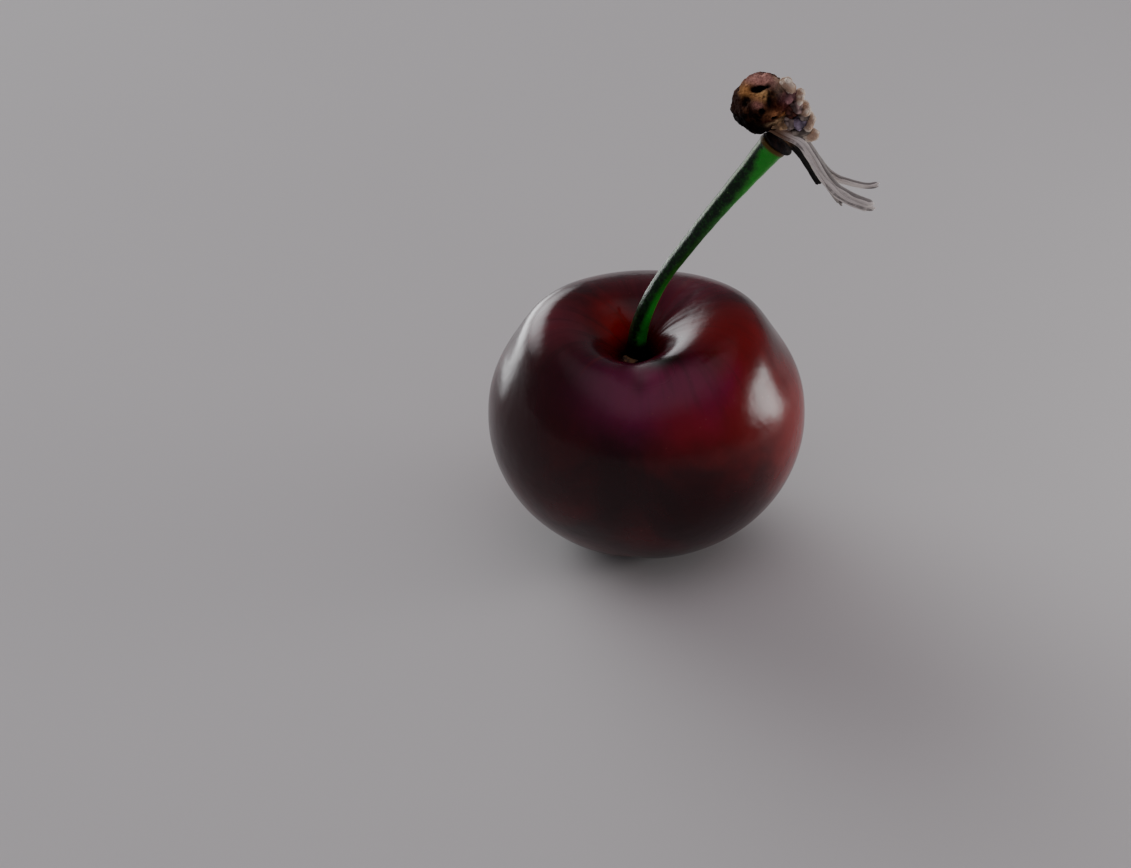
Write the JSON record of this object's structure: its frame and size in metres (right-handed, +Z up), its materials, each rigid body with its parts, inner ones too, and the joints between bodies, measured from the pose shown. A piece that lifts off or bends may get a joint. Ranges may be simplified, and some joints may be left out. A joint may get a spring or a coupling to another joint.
{
  "type": "cherry",
  "caption": "Whole dark sweet cherry with a glossy skin and a deep stem hollow, on its curved green stem that ends in a dry brown knob of bud scales with trailing fibrous strips.",
  "frame": {"origin": "centre of the small flat spot that the fruit rests on, straight below the middle of the fruit", "axes": "+Z up, away from the surface that the cherry stands on; the suture faces -Y; the stem leans towards +X"},
  "size_m": [0.0332, 0.0261, 0.0474],
  "materials": {
    "skin": "gloss",
    "stem": "satin",
    "bark_dark": "matte",
    "bark": "matte",
    "dry_scale": "matte",
    "dry_strip": "matte",
    "dark_strip": "matte"
  },
  "bodies": {
    "root": {"fruit": "skin", "stem": "stem", "knob_collar": "bark_dark", "stem_knob": "bark", "bud_scale_1": "dry_scale", "bud_scale_2": "dry_scale", "bud_scale_3": "dry_scale", "bud_scale_4": "dry_scale", "bud_scale_5": "dry_scale", "bract_strip_upper": "dry_strip", "bract_strip_lower": "dry_strip", "bract_strip_short": "dry_strip", "bract_strip_dark": "dark_strip"}
  },
  "joints": []
}
